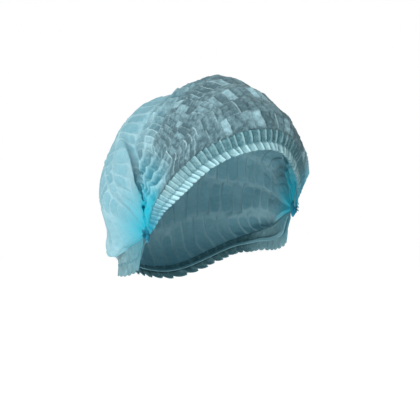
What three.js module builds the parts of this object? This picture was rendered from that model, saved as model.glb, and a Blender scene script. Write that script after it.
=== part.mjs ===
// A disposable bouffant cap of pleated nonwoven cloth, puffed out as it is when worn. Millimetres.
// +Z is up, -Y is the wearer's front, and the origin is the point inside the crown that rests on the head.
// One strip of cloth is accordion-folded from ear to ear. Each long edge is hemmed and gathered on
// an elastic, and both ends of the folded strip are welded into a clip beside an ear.
import * as THREE from "three";

// How far the crown reaches from the origin, in its middle plane.
const FACE_REACH = 92; // forwards, to the forehead
const BAG_REACH = 146; // backwards, to the back of the bag
const BAG_DROP = 205; // downwards, to the nape
const SIDE_FLARE = 20; // how far the bag puffs out sideways beyond the clips
const BOW = 10; // how far the cloth bows out of the flat arc halfway up each side

// The clips, one beside each ear, and how unevenly the cap is worn.
const CLIP_HALF_SPAN = 80; // from the middle plane to where the cloth meets a clip
const CLIP_DROP = 149; // below the origin, before the tilt
const CLIP_FORWARD = 18; // in front of the origin, before the swing
const CLIP_TILT = 12; // the right clip sits this much lower and the left one this much higher
const CLIP_SWING = 14; // the right clip sits this much further back and the left one further forward
const CLIP_THICK = 7; // front to back
const CLIP_HEIGHT = 17; // up and down
const CLIP_LENGTH = 12; // how far it stands out
const CLIP_RIBS = 18; // folded layers that show round the clip
const CLIP_RIB_DEPTH = 0.6;

// The cloth and its folds.
const WALL = 1.2;
const GAP = 0.3; // between pieces that meet
const SEAM_GAP = 0.6; // between the crown's edges and the hems, whose pleats don't run together
const PANELS = 20; // strips between accordion folds, from the front edge to the nape edge
const TUCKS = 24; // crosswise tucks in a strip, from clip to clip
const SIDE_FOLD = 5; // accordion depth over the ears
const TOP_FOLD = 2.2; // accordion depth along the middle plane
const TUCK_HEIGHT = 1.5;
const PUCKER_HEIGHT = 1.6; // slow unevenness of the whole crown
const CREASE_HEIGHT = 9; // depth of a crease or height of a peak whose depth below is 1

// The hems and their elastics.
const HEM_DEPTH = 19;
const HEM_THICK = 2.0; // two layers, gathered
const HEM_STITCH = 11; // from the crown's edge down to the line of stitches
const HEM_PLEAT_HEIGHT = 1.5;
const HEM_LEAN = 3.2; // how far a pleat leans sideways below the stitches
const HEM_SCALLOP = 1.4; // how far a pleat hangs below the notches between pleats
const FRONT_PLEATS = 38;
const NAPE_PLEATS = 30;
const ELASTIC_WIDTH = 3;
const ELASTIC_THICK = 0.8;
const ELASTIC_STEPS = 52;

// Shares of the way from clip to clip, or of the height that an arc has risen.
const FLARE_ONSET = 0.34; // the flare is complete where the arc has risen by this share
const HEM_END_SHARE = 0.35; // how much of a hem's depth is left where it meets a clip
const HEM_START = 0.012; // where a hem starts, as a share of the way from clip to clip

// The crown in its middle plane, from the front edge over the top to the nape edge. reach is a share of
// FACE_REACH in front of the ears and of BAG_REACH behind them, drop of BAG_DROP, and flare of SIDE_FLARE.
// power shapes the arc from clip to clip: 1 is half an ellipse, and below 1 its sides stand fuller. bow is a
// share of BOW, towards the front edge.
const SECTIONS = [
  { place: "front edge", reach: -0.93, drop: 0.266, flare: 0.2, power: 1.05, bow: -0.44 },
  { place: "forehead", reach: -0.925, drop: 0.225, flare: 0.33, power: 1.14, bow: -0.3 },
  { place: "hairline", reach: -0.83, drop: 0.135, flare: 0.27, power: 1.15, bow: -0.2 },
  { place: "front of the top", reach: -0.55, drop: 0.07, flare: 0.15, power: 1.14, bow: -0.13 },
  { place: "top", reach: 0.01, drop: -0.002, flare: 0.2, power: 1.07, bow: -0.05 },
  { place: "back of the top", reach: 0.33, drop: 0.05, flare: 0.5, power: 0.92, bow: 0.05 },
  { place: "shoulder of the bag", reach: 0.66, drop: 0.095, flare: 0.86, power: 0.79, bow: 0.25 },
  { place: "back", reach: 0.88, drop: 0.205, flare: 0.85, power: 0.76, bow: 0.35 },
  { place: "furthest back", reach: 1.0, drop: 0.365, flare: 0.9, power: 0.71, bow: 0.46 },
  { place: "under the back", reach: 1.01, drop: 0.545, flare: 0.75, power: 0.73, bow: 0.5 },
  { place: "lowest of the bag", reach: 0.98, drop: 0.735, flare: 0.68, power: 0.73, bow: 0.6 },
  { place: "under the bag", reach: 0.88, drop: 0.925, flare: 0.58, power: 0.67, bow: 0.8 },
  { place: "nape edge", reach: 0.7, drop: 1.0, flare: 0.43, power: 0.69, bow: 0.9 },
];

// Large creases and peaks. across runs from the right clip (0) to the left clip (1), along from the front
// edge (0) to the nape edge (1), width and length are shares of those ways, and depth is a share of
// CREASE_HEIGHT, negative inwards.
const CREASES = [
  { place: "peak of the top", across: 0.52, along: 0.26, width: 0.1, length: 0.035, depth: 0.3 },
  { place: "right shoulder of the top", across: 0.31, along: 0.37, width: 0.09, length: 0.07, depth: 0.4 },
  { place: "valley above the right ear", across: 0.14, along: 0.325, width: 0.09, length: 0.028, depth: -0.9 },
  { place: "lip of the bag by the right ear", across: 0.14, along: 0.4, width: 0.11, length: 0.035, depth: 0.55 },
  { place: "waist of the bag", across: 0.27, along: 0.5, width: 0.07, length: 0.05, depth: -0.35 },
  { place: "right lobe of the bag", across: 0.13, along: 0.76, width: 0.09, length: 0.09, depth: 0.4 },
  { place: "fold under the right lobe", across: 0.17, along: 0.93, width: 0.12, length: 0.028, depth: -0.7 },
  { place: "valley above the left ear", across: 0.86, along: 0.33, width: 0.09, length: 0.03, depth: -0.7 },
  { place: "step on the left of the top", across: 0.68, along: 0.17, width: 0.08, length: 0.03, depth: -0.25 },
  { place: "fold under the left lobe", across: 0.82, along: 0.9, width: 0.12, length: 0.03, depth: -0.6 },
];

const clipMiddle = new THREE.Vector3(0, -CLIP_FORWARD, -CLIP_DROP);
const clipHalf = new THREE.Vector3(CLIP_HALF_SPAN, -CLIP_SWING, CLIP_TILT);

// The middle plane's line, and the flare, power and bow that change along it.
const profile = new THREE.CatmullRomCurve3(
  SECTIONS.map(
    ({ reach, drop }) => new THREE.Vector3(0, reach * (reach < 0 ? FACE_REACH : BAG_REACH), -drop * BAG_DROP),
  ),
  false,
  "centripetal",
);
profile.arcLengthDivisions = 800;
const shaping = new THREE.CatmullRomCurve3(
  SECTIONS.map(({ flare, power, bow }) => new THREE.Vector3(flare, power, bow)),
  false,
  "catmullrom",
);

const sectionsFound = new Map();

// The section of the crown at a share of its middle line's length: place, flare, power and bow.
function sectionAt(along) {
  if (!sectionsFound.has(along)) {
    const station = profile.getUtoTmapping(along);
    const { y, z } = profile.getPoint(station);
    const { x: flare, y: power, z: bow } = shaping.getPoint(station);
    sectionsFound.set(along, { y, z, flare, power, bow });
  }
  return sectionsFound.get(along);
}

function mix(from, to, share) {
  return from + (to - from) * share;
}

function smoothStep(value) {
  const held = Math.min(Math.max(value, 0), 1);
  return held * held * (3 - 2 * held);
}

// A wave between -1 and 1 with straight flanks and period 1. It is 1 at whole numbers.
function zigzag(phase) {
  return 4 * Math.abs(phase - Math.floor(phase) - 0.5) - 1;
}

// The radius of the hole round a clip, in the direction of a unit vector in the YZ plane.
function clipRadius(y, z) {
  const halfThick = CLIP_THICK / 2;
  const halfHeight = CLIP_HEIGHT / 2;
  return 1 / Math.hypot(y / halfThick, z / halfHeight);
}

// The smooth crown before folds: across from the right clip to the left one, along from front to nape.
function smoothCrown(across, along) {
  const section = sectionAt(along);
  const turn = Math.PI * across;
  const sine = Math.max(Math.sin(turn), 0);
  const spokeY = section.y - clipMiddle.y;
  const spokeZ = section.z - clipMiddle.z;
  const reach = Math.hypot(spokeY, spokeZ);
  const unitY = spokeY / reach;
  const unitZ = spokeZ / reach;
  const start = clipRadius(unitY, unitZ) + GAP;
  const radius = mix(start, reach, Math.pow(sine, section.power));
  const flare = section.flare * SIDE_FLARE * smoothStep(sine / FLARE_ONSET);
  const bow = section.bow * BOW * Math.sin(2 * turn) ** 2;
  const sideways = -Math.cos(turn);
  return new THREE.Vector3(
    clipMiddle.x + sideways * (clipHalf.x + flare),
    clipMiddle.y + sideways * clipHalf.y + unitY * radius - unitZ * bow,
    clipMiddle.z + sideways * clipHalf.z + unitZ * radius + unitY * bow,
  );
}

// The smooth crown's frame: the point, its outward normal, and the way towards the nape in the surface.
function crownFrame(across, along) {
  const step = 2e-3;
  const acrossLow = Math.max(across - step, 0);
  const acrossHigh = Math.min(across + step, 1);
  const alongLow = Math.max(along - step, 0);
  const alongHigh = Math.min(along + step, 1);
  const run = smoothCrown(acrossHigh, along).sub(smoothCrown(acrossLow, along)).normalize();
  const back = smoothCrown(across, alongHigh).sub(smoothCrown(across, alongLow));
  const out = new THREE.Vector3().crossVectors(run, back).normalize();
  return { point: smoothCrown(across, along), run, out, back: new THREE.Vector3().crossVectors(out, run) };
}

function creaseLift(across, along) {
  let lift = 0;
  for (const crease of CREASES) {
    const acrossShare = (across - crease.across) / crease.width;
    const alongShare = (along - crease.along) / crease.length;
    lift += crease.depth * CREASE_HEIGHT * Math.exp(-(acrossShare ** 2) - alongShare ** 2);
  }
  return lift;
}

// How far the folded cloth stands off the smooth crown.
function foldLift(across, along) {
  const sine = Math.sin(Math.PI * across);
  const clear = smoothStep(sine / FLARE_ONSET); // folds die out where the cloth meets a clip
  const panel = Math.min(Math.floor(along * PANELS), PANELS - 1);
  const crest = 1 - Math.abs(2 * (along * PANELS - panel) - 1);
  const foldDepth = mix(SIDE_FOLD, TOP_FOLD, smoothStep(sine));
  const tuck = zigzag(across * TUCKS + (panel % 2) / 2);
  const pucker = Math.sin(11 * across + 17 * along) * Math.cos(23 * across - 9 * along);
  return (
    clear *
    (foldDepth * (crest - 0.5) +
      TUCK_HEIGHT * tuck * crest +
      PUCKER_HEIGHT * pucker +
      creaseLift(across, along))
  );
}

// A closed solid between two grids of points, out(i, j) on the outside and inn(i, j) on the inside.
function gridSolid(columns, rows, out, inn) {
  const positions = [];
  for (const side of [out, inn])
    for (let i = 0; i <= columns; i++)
      for (let j = 0; j <= rows; j++) positions.push(...side(i, j).toArray());
  const inner = (columns + 1) * (rows + 1);
  const at = (i, j) => i * (rows + 1) + j;
  const index = [];
  const quad = (a, b, c, d, turned) =>
    turned ? index.push(a, b, d, b, c, d) : index.push(a, b, c, a, c, d);
  for (let i = 0; i < columns; i++)
    for (let j = 0; j < rows; j++) {
      const corners = [at(i, j), at(i + 1, j), at(i + 1, j + 1), at(i, j + 1)];
      const turned = (i + j) % 2 === 1;
      quad(...corners, turned);
      const [a, b, c, d] = corners.map((corner) => corner + inner);
      quad(b, a, d, c, !turned);
    }
  for (let i = 0; i < columns; i++) {
    quad(at(i + 1, 0), at(i, 0), at(i, 0) + inner, at(i + 1, 0) + inner, false);
    quad(at(i, rows), at(i + 1, rows), at(i + 1, rows) + inner, at(i, rows) + inner, false);
  }
  for (let j = 0; j < rows; j++) {
    quad(at(0, j), at(0, j + 1), at(0, j + 1) + inner, at(0, j) + inner, false);
    quad(at(columns, j + 1), at(columns, j), at(columns, j) + inner, at(columns, j + 1) + inner, false);
  }
  const geometry = new THREE.BufferGeometry();
  geometry.setAttribute("position", new THREE.Float32BufferAttribute(positions, 3));
  geometry.setIndex(index);
  geometry.computeVertexNormals();
  return geometry;
}

function crownGeometry() {
  const columns = 2 * TUCKS;
  const rows = 2 * PANELS;
  const place = (lower) => (i, j) => {
    const frame = crownFrame(i / columns, j / rows);
    return frame.point.addScaledVector(frame.out, foldLift(i / columns, j / rows) - lower);
  };
  return gridSolid(columns, rows, place(0), place(WALL));
}

// A point on a hem: drop is how far it lies from the crown's edge, away from the crown.
function hemPoint(along, across, drop, lift, lean) {
  const frame = crownFrame(across, along);
  const away = along === 0 ? -1 : 1;
  const gathered = mix(HEM_END_SHARE, 1, smoothStep(Math.sin(Math.PI * across) / FLARE_ONSET));
  return frame.point
    .addScaledVector(frame.back, away * (SEAM_GAP + drop * gathered))
    .addScaledVector(frame.out, lift - WALL / 2)
    .addScaledVector(frame.run, lean * gathered);
}

// The lines of a hem from the crown's edge down: share of the way, how far pleats stand off, and lean.
const HEM_LINES = [
  { place: "crown's edge", drop: 0, height: 0.5, lean: 0 },
  { place: "above the stitches", drop: 0.5 * HEM_STITCH, height: 1, lean: 0.25 },
  { place: "stitches", drop: HEM_STITCH, height: 0.45, lean: 0 },
  { place: "below the stitches", drop: mix(HEM_STITCH, HEM_DEPTH, 0.5), height: 0.9, lean: 0.6 },
  { place: "free edge", drop: HEM_DEPTH - HEM_SCALLOP, height: 0.8, lean: 1 },
];

function hemGeometry(along, pleats) {
  const columns = 2 * pleats;
  const rows = HEM_LINES.length - 1;
  const place = (lower) => (i, j) => {
    const line = HEM_LINES[along === 0 ? rows - j : j];
    const across = mix(HEM_START, 1 - HEM_START, i / columns);
    const wave = zigzag((i / columns) * pleats);
    const scallop = line.place === "free edge" ? HEM_SCALLOP * 0.5 * (1 + wave) : 0;
    const lift = HEM_PLEAT_HEIGHT * line.height * wave + HEM_THICK / 2 - lower;
    return hemPoint(along, across, line.drop + scallop, lift, HEM_LEAN * line.lean);
  };
  return gridSolid(columns, rows, place(0), place(HEM_THICK));
}

// An elastic lies inside a hem, along its stitches.
function elasticGeometry(along) {
  const stitches = HEM_LINES.find(({ place }) => place === "stitches");
  const top = -HEM_THICK / 2 - HEM_PLEAT_HEIGHT * stitches.height - 2 * GAP;
  const place = (lift) => (i, j) => {
    const across = mix(HEM_START, 1 - HEM_START, i / ELASTIC_STEPS);
    const half = (along === 0 ? -1 : 1) * (j - 0.5) * ELASTIC_WIDTH;
    return hemPoint(along, across, HEM_STITCH + half, lift, 0);
  };
  return gridSolid(ELASTIC_STEPS, 1, place(top), place(top - ELASTIC_THICK));
}

// A clip: the ends of all folded layers, welded into one ribbed stub that stands out sideways.
function clipGeometry() {
  const outline = new THREE.Shape();
  const steps = 2 * CLIP_RIBS;
  for (let i = 0; i < steps; i++) {
    const angle = (2 * Math.PI * i) / steps;
    const radius = clipRadius(Math.cos(angle), Math.sin(angle)) - (i % 2) * CLIP_RIB_DEPTH;
    outline[i === 0 ? "moveTo" : "lineTo"](radius * Math.cos(angle), radius * Math.sin(angle));
  }
  outline.closePath();
  const geometry = new THREE.ExtrudeGeometry(outline, { depth: CLIP_LENGTH, bevelEnabled: false });
  // The outline's x and y become the part's Y and Z, and the extrusion runs along the part's X.
  return geometry.rotateZ(Math.PI / 2).rotateY(Math.PI / 2).translate(-CLIP_LENGTH / 2, 0, 0);
}

const cloth = { roughness: 0.85, metalness: 0, side: THREE.DoubleSide };
const crownCloth = new THREE.MeshStandardMaterial({ ...cloth, color: 0x9fd0dd });
const hemCloth = new THREE.MeshStandardMaterial({ ...cloth, color: 0x8fd6e6 });
const weldedCloth = new THREE.MeshStandardMaterial({ ...cloth, color: 0x2fb2cf, roughness: 0.6 });
const rubber = new THREE.MeshStandardMaterial({ color: 0xe9f3f4, roughness: 0.7, metalness: 0 });

const cap = new THREE.Group();

function addPiece(name, geometry, material) {
  const mesh = new THREE.Mesh(geometry, material);
  mesh.name = name;
  cap.add(mesh);
  return mesh;
}

addPiece("crown", crownGeometry(), crownCloth);
addPiece("front_hem", hemGeometry(0, FRONT_PLEATS), hemCloth);
addPiece("nape_hem", hemGeometry(1, NAPE_PLEATS), hemCloth);
addPiece("front_elastic", elasticGeometry(0), rubber);
addPiece("nape_elastic", elasticGeometry(1), rubber);
addPiece("right_clip", clipGeometry(), weldedCloth).position.copy(clipMiddle).sub(clipHalf);
addPiece("left_clip", clipGeometry(), weldedCloth).position.copy(clipMiddle).add(clipHalf);

export default cap;
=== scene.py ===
# A disposable bouffant cap of pleated nonwoven cloth, dressed and lit for a soft studio picture.
import math

import bpy
import numpy as np
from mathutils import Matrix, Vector


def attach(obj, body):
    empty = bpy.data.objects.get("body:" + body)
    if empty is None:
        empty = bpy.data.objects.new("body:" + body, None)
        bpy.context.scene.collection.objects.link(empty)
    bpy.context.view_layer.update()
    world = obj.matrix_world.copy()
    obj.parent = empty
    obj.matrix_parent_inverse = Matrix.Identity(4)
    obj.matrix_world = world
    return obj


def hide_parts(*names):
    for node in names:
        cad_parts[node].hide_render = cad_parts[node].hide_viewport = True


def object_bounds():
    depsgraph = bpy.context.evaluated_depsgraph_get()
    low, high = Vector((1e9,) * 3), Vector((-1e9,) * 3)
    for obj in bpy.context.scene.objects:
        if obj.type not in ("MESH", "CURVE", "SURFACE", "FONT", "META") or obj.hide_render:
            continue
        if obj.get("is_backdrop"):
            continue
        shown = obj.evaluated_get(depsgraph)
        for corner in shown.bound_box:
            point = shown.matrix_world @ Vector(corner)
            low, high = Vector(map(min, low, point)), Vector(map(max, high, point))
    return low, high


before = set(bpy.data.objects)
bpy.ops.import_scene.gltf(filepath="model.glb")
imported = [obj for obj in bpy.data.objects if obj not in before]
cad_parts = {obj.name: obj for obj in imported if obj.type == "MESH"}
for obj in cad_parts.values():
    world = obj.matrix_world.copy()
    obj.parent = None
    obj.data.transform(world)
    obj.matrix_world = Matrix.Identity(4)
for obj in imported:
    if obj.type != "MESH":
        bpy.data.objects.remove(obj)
cad_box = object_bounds()

MM = 0.001

# The crown's driving sizes, in millimetres, as in the part.
FACE_REACH = 92
BAG_REACH = 146
BAG_DROP = 205
SIDE_FLARE = 20
BOW = 10
CLIP_MIDDLE = np.array([0, -18, -149.0])
CLIP_HALF = np.array([80, -14, 12.0])
CLIP_HALF_THICK = 3.5
CLIP_HALF_HEIGHT = 8.5
CLIP_LENGTH = 12
GAP = 0.3
FLARE_ONSET = 0.34
HEM_END_SHARE = 0.35

# The crown's middle line: reach, drop, flare, power and bow of each section, front edge to nape edge.
SECTIONS = np.array([
    (-0.93, 0.266, 0.2, 1.05, -0.44),
    (-0.925, 0.225, 0.33, 1.14, -0.3),
    (-0.83, 0.135, 0.27, 1.15, -0.2),
    (-0.55, 0.07, 0.15, 1.14, -0.13),
    (0.01, -0.002, 0.2, 1.07, -0.05),
    (0.33, 0.05, 0.5, 0.92, 0.05),
    (0.66, 0.095, 0.86, 0.79, 0.25),
    (0.88, 0.205, 0.85, 0.76, 0.35),
    (1.0, 0.365, 0.9, 0.71, 0.46),
    (1.01, 0.545, 0.75, 0.73, 0.5),
    (0.98, 0.735, 0.68, 0.73, 0.6),
    (0.88, 0.925, 0.58, 0.67, 0.8),
    (0.7, 1.0, 0.43, 0.69, 0.9),
])

# Large creases and peaks: across, along, width and length as shares, slope of along on across, and depth
# and overhang in millimetres.
CREASES = (
    (0.525, 0.26, 0.07, 0.04, 0, 4.6, 0),  # peak of the top
    (0.24, 0.62, 0.2, 0.2, 0, 0.8, 0),  # fullness of the bag
    (0.31, 0.37, 0.09, 0.07, 0, 3.6, 0),  # right shoulder of the top
    (0.1, 0.3, 0.09, 0.02, 0.9, -12, 0),  # valley above the right ear
    (0.12, 0.375, 0.1, 0.028, 0.9, 8, -9),  # lip of the bag by the right ear
    (0.27, 0.5, 0.07, 0.05, 0, -3, 0),  # waist of the bag
    (0.13, 0.57, 0.12, 0.02, 0.2, 3.5, -3),  # long ridge down the side of the bag
    (0.15, 0.5, 0.1, 0.03, 0.2, -3, 0),  # hollow before the ridge
    (0.13, 0.76, 0.09, 0.09, 0, 2, 0),  # right lobe of the bag
    (0.085, 0.9, 0.065, 0.05, 0, 8.5, 16),  # right lobe, hanging over the nape hem
    (0.9, 0.3, 0.09, 0.02, -0.9, -8, 0),  # valley above the left ear
    (0.68, 0.17, 0.08, 0.03, 0, -2.2, 0),  # step on the left of the top
    (0.92, 0.16, 0.07, 0.13, 0, -4.5, 0),  # flatter side above the left ear
    (0.91, 0.9, 0.07, 0.04, 0, 7, 9),  # left lobe, hanging over the nape hem
)

# The cloth: strips between long creases, crossed by tucks that are staggered from strip to strip. Lengths are
# in millimetres, and tones are added to the material's value for cloth that lies doubled, and as a painted
# highlight along the wrinkle ridges. Pairs are for the dome and the bag, but FOLD_SLOPES for plain folds and
# zigzags, and RUFFLE_CRESTS for the least and most.
CROWN_COLUMNS = 300
CROWN_ROWS = 160
CLOTH_THICK = 0.35
ARC_LENGTH = 420
PROFILE_LENGTH = 440
# Strips counted from the front edge: narrow on the dome, and wide where the bag is slack.
STRIP_PLACES = ((0, 0), (0.3, 7), (0.36, 8), (0.75, 11), (1, 13))
DOME_STRIPS = 8
TUCK_PITCH = 11
DOME_DENSITY = 1.3
BAG_DENSITY = 0.8
TUCK_START = 0.618
TUCK_FALL = 0.12
TUCK_HEIGHT = 1.8
TUCK_MIDDLE = 0.45
TUCK_OVERLAP = 1.4
TUCK_STRAYS = (0.3, 0.16)
# How far the tucks lean over one strip, in tucks.
RIGHT_LEAN = -0.9
LEFT_LEAN = 0.6
BAG_LEAN = 0.2
DOME_FOLD = 3.0
BAG_FOLD = 5.2
CLIP_FOLD = 7.5
CLIP_FOLD_REACH = 85
CURL_FOLD = 10.0
FOLD_SLOPES = (0.13, 0.2)
ZIGZAG_PITCH = 27.0
ZIGZAG_SWING = 1.7
LEFT_CURL = 0.45
RUFFLE_PITCH = 12.0
RUFFLE_HEIGHT = 3.8
RUFFLE_MIDDLE = 0.4
RUFFLE_OVERLAP = 2.2
RUFFLE_POWER = 1.5
RUFFLE_CRESTS = (0.6, 1.3)
RUFFLE_COVER = 1.4
HEM_RUFFLE = 0.4
HEM_GATHER = 0.9
HEM_GATHER_FALL = 0.25
HELD_LIFT = 0.25
PUCKER_LIFT = 1.2
WRINKLE_HEIGHTS = (1.2, 0.8)
FINE_WRINKLE_SHARE = 0.5
FINE_WRINKLE_SHIFT = 36
RIDGE_SHARPNESS = 3.2
CURL_TONE = 0.05
CREST_TONE = 0.4
WRINKLE_HIGHLIGHTS = (0.14, 0.03)
TIGHT_TONE = 0.5
CURL_SLACK = 0.7
CURL_GATHER = 0.45
GATHER_START = 1.25
GATHER_REACH = 44

# Noises: length along the arc, length down the crown, seed and strength.
STRIP_SWAY = (46, 60, 3, 0.3)
ZIGZAG_SWAY = (40, 60, 67, 0.5)
TUCK_SWAY = (21, 22, 5, 1)
RUFFLE_SWAYS = ((30, 17, 43, 0.75), (50, 40, 47, 0.8))
CREST_SWAY = (13, 24, 53, 0.5)
PUCKERS = ((55, 60, 23, 2.6), (26, 30, 29, 1.1))
WRINKLE = (23, 31, 17)
FINE_WRINKLE = (12, 17, 19)

# Random numbers: least, most and seed.
TUCK_GAIN = (0.2, 1.4, 11)
TUCK_TILT = (-1.2, 1.2, 13)

# Places where something begins or ends, each with the width over which it does: first shares along, from
# the front edge to the nape edge, then across, from the right clip to the left one.
FRONT_EDGE = (0, 0.03)
HEM_RUFFLE_END = (0.06, 0.05)
CURL_END = (0.36, 0.05)
SLACK_BEGIN = (0.2, 0.25)
BAG_BEGIN = (0.27, 0.14)
SWAY_FADE = 0.125
GATHER_EDGE = (0, 1 / 30)
LEFT_EAR = (0.7, 0.15)
# The same for the sine of the turn from clip to clip, 0 at both clips.
CURL_SIDE = (0.66, 0.3)
CLEAR_SIDE = (0, 0.3)
OVERHANG_SIDE = (0, 0.16)
# The same in millimetres: along the arc from its middle, from the nearer clip, and from an edge.
LEAN_TURN = (-170, 170)
TUCKS_RISE = (18, 40)
TUCKS_SHOW = (28, 50)
RUFFLES_RISE = (0, 40)
CURL_GATHER_END = (105, 75)
EDGE_HELD = (0, 9)
# The same within one strip or fold.
TUCK_RIM = (0, 0.1)
RIDGE_LINE = (0.55, 0.45)
CREST_LINE = (0.7, 0.3)


def catmull_rom(points, share, centripetal):
    """Points at shares of the way along a Catmull-Rom spline."""
    ends = np.vstack([2 * points[0] - points[1], points, 2 * points[-1] - points[-2]])
    station = np.clip(share, 0, 1) * (len(points) - 1)
    i = np.minimum(station.astype(int), len(points) - 2)
    t = (station - i)[:, None]
    p0, p1, p2, p3 = ends[i], ends[i + 1], ends[i + 2], ends[i + 3]
    if centripetal:
        knots = np.linalg.norm(np.diff(ends, axis=0), axis=1)[:, None] ** 0.5
        d0, d1, d2 = knots[i], knots[i + 1], knots[i + 2]
        t1 = ((p1 - p0) / d0 - (p2 - p0) / (d0 + d1) + (p2 - p1) / d1) * d1
        t2 = ((p2 - p1) / d1 - (p3 - p1) / (d1 + d2) + (p3 - p2) / d2) * d1
    else:
        t1, t2 = (p2 - p0) / 2, (p3 - p1) / 2
    square, cube = 3 * (p2 - p1) - 2 * t1 - t2, 2 * (p1 - p2) + t1 + t2
    return p1 + t1 * t + square * t**2 + cube * t**3


def middle_line():
    reach = SECTIONS[:, 0] * np.where(SECTIONS[:, 0] < 0, FACE_REACH, BAG_REACH)
    return np.stack([reach, -SECTIONS[:, 1] * BAG_DROP], axis=1)


def way_walked(points):
    """The length of a path up to each of its points."""
    return np.concatenate([[0], np.cumsum(np.linalg.norm(np.diff(points, axis=0), axis=1))])


STATIONS = np.linspace(0, 1, 801)
LINE_WALKED = way_walked(catmull_rom(middle_line(), STATIONS, True))


def smooth_step(value):
    held = np.clip(value, 0, 1)
    return held * held * (3 - 2 * held)


def rise(value, start, width):
    """0 up to start, then smoothly up to 1 over width."""
    return smooth_step((value - start) / width)


def fall(value, end, width):
    """1 as far as width before end, then smoothly down to 0 at end."""
    return smooth_step((end - value) / width)


def bell(value, middle, width):
    return np.exp(-(((value - middle) / width) ** 2))


def mix(low, high, share):
    return low + (high - low) * share


def smooth_crown(across, along):
    """Points of the crown before its folds, in millimetres."""
    station = np.interp(along * LINE_WALKED[-1], LINE_WALKED, STATIONS)
    line = catmull_rom(middle_line(), station, True)
    flare, power, bow = catmull_rom(SECTIONS[:, 2:], station, False).T
    turn = np.pi * across
    sine = np.maximum(np.sin(turn), 0)
    spoke = line - CLIP_MIDDLE[1:]
    reach = np.linalg.norm(spoke, axis=1)
    unit = spoke / reach[:, None]
    start = 1 / np.hypot(unit[:, 0] / CLIP_HALF_THICK, unit[:, 1] / CLIP_HALF_HEIGHT) + GAP
    radius = mix(start, reach, sine**power)
    flare = flare * SIDE_FLARE * smooth_step(sine / FLARE_ONSET)
    bow = bow * BOW * np.sin(2 * turn) ** 2
    sideways = -np.cos(turn)
    return np.stack([
        sideways * (CLIP_HALF[0] + flare),
        CLIP_MIDDLE[1] + sideways * CLIP_HALF[1] + unit[:, 0] * radius - unit[:, 1] * bow,
        CLIP_MIDDLE[2] + sideways * CLIP_HALF[2] + unit[:, 1] * radius + unit[:, 0] * bow,
    ], axis=1)


def unit_rows(vectors):
    return vectors / np.maximum(np.linalg.norm(vectors, axis=1), 1e-9)[:, None]


def crown_frame(across, along):
    """Points of the smooth crown with the ways along the arc, outwards and towards the nape."""
    step = 2e-3
    run = unit_rows(smooth_crown(np.minimum(across + step, 1), along)
                    - smooth_crown(np.maximum(across - step, 0), along))
    down = (smooth_crown(across, np.minimum(along + step, 1))
            - smooth_crown(across, np.maximum(along - step, 0)))
    out = unit_rows(np.cross(run, down))
    return smooth_crown(across, along), run, out, np.cross(out, run)


def lattice_noise(u, v, seed):
    """Smooth noise from -1 to 1 that changes over one unit of u and v."""
    table = np.random.default_rng(seed).uniform(-1, 1, (64, 64))
    iu, iv = np.floor(u).astype(int), np.floor(v).astype(int)
    fu, fv = smooth_step(u - iu), smooth_step(v - iv)
    corner = lambda du, dv: table[(iu + du) % 64, (iv + dv) % 64]
    low = mix(corner(0, 0), corner(1, 0), fu)
    high = mix(corner(0, 1), corner(1, 1), fu)
    return mix(low, high, fv)


def chance(i, j, seed):
    """A fixed random number from 0 to 1 for each pair of whole numbers."""
    table = np.random.default_rng(seed).uniform(0, 1, (64, 64))
    return table[i.astype(int) % 64, j.astype(int) % 64]


def dealt(i, j, least, most, seed):
    return mix(least, most, chance(i, j, seed))


def waver(run, down, *rows):
    """The sum of noises, each a row of length along the arc, length down the crown, seed and strength."""
    return sum(strength * lattice_noise(run / wide, down / high, seed) for wide, high, seed, strength in rows)


def ridge(run, down, wide, high, seed):
    """Sharp creases: 0 on most of the cloth, rising to 1 along wandering lines."""
    return np.clip(1 - RIDGE_SHARPNESS * np.abs(lattice_noise(run / wide, down / high, seed)), 0, 1)


def knife(phase, drop):
    """A fold that rises slowly over its face and falls within the last share, drop."""
    share = phase - np.floor(phase)
    return np.where(share < 1 - drop, share / (1 - drop), (1 - share) / drop)


def even_across(columns):
    """Shares across, from clip to clip, at even steps of length."""
    fine = np.linspace(0, 1, 2001)
    walked = np.zeros(2001)
    for along in (0.12, 0.4, 0.7):
        steps = np.linalg.norm(np.diff(smooth_crown(fine, np.full(2001, along)), axis=0), axis=1)
        walked[1:] += np.cumsum(steps) / steps.sum() / 3
    return np.interp(np.linspace(0, 1, columns + 1), walked, fine)


def walked_across(point, columns, rows):
    """Millimetres along each arc, from the middle plane."""
    grid = point.reshape(columns + 1, rows + 1, 3)
    steps = np.linalg.norm(np.diff(grid, axis=0), axis=2)
    walked = np.concatenate([np.zeros((1, rows + 1)), np.cumsum(steps, axis=0)])
    return (walked - walked[columns // 2]).ravel()


def from_clip(point):
    """Millimetres to the nearer clip."""
    near = [np.linalg.norm(point - CLIP_MIDDLE - side * CLIP_HALF, axis=1) for side in (-1, 1)]
    return np.minimum(*near)


def curled_at(across, along, sine):
    """Over each ear, before the valley, the front elastic draws the strips into zigzags."""
    curled = fall(along, *CURL_END) * fall(sine, *CURL_SIDE) * rise(along, *FRONT_EDGE)
    return curled * mix(1, LEFT_CURL, rise(across, *LEFT_EAR))


def count_strips(along, run, down, curled):
    """Strips passed on the way from the front edge, swaying a little, and drawn into the zigzags."""
    inside = rise(along, 0, SWAY_FADE) * fall(along, 1, SWAY_FADE)
    zigzag = np.abs((run / ZIGZAG_PITCH + waver(run, down, ZIGZAG_SWAY)) % 2 - 1) - 0.5
    counted = np.interp(along, *zip(*STRIP_PLACES))
    return counted + waver(run, down, STRIP_SWAY) * inside + ZIGZAG_SWING * curled * zigzag


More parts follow.
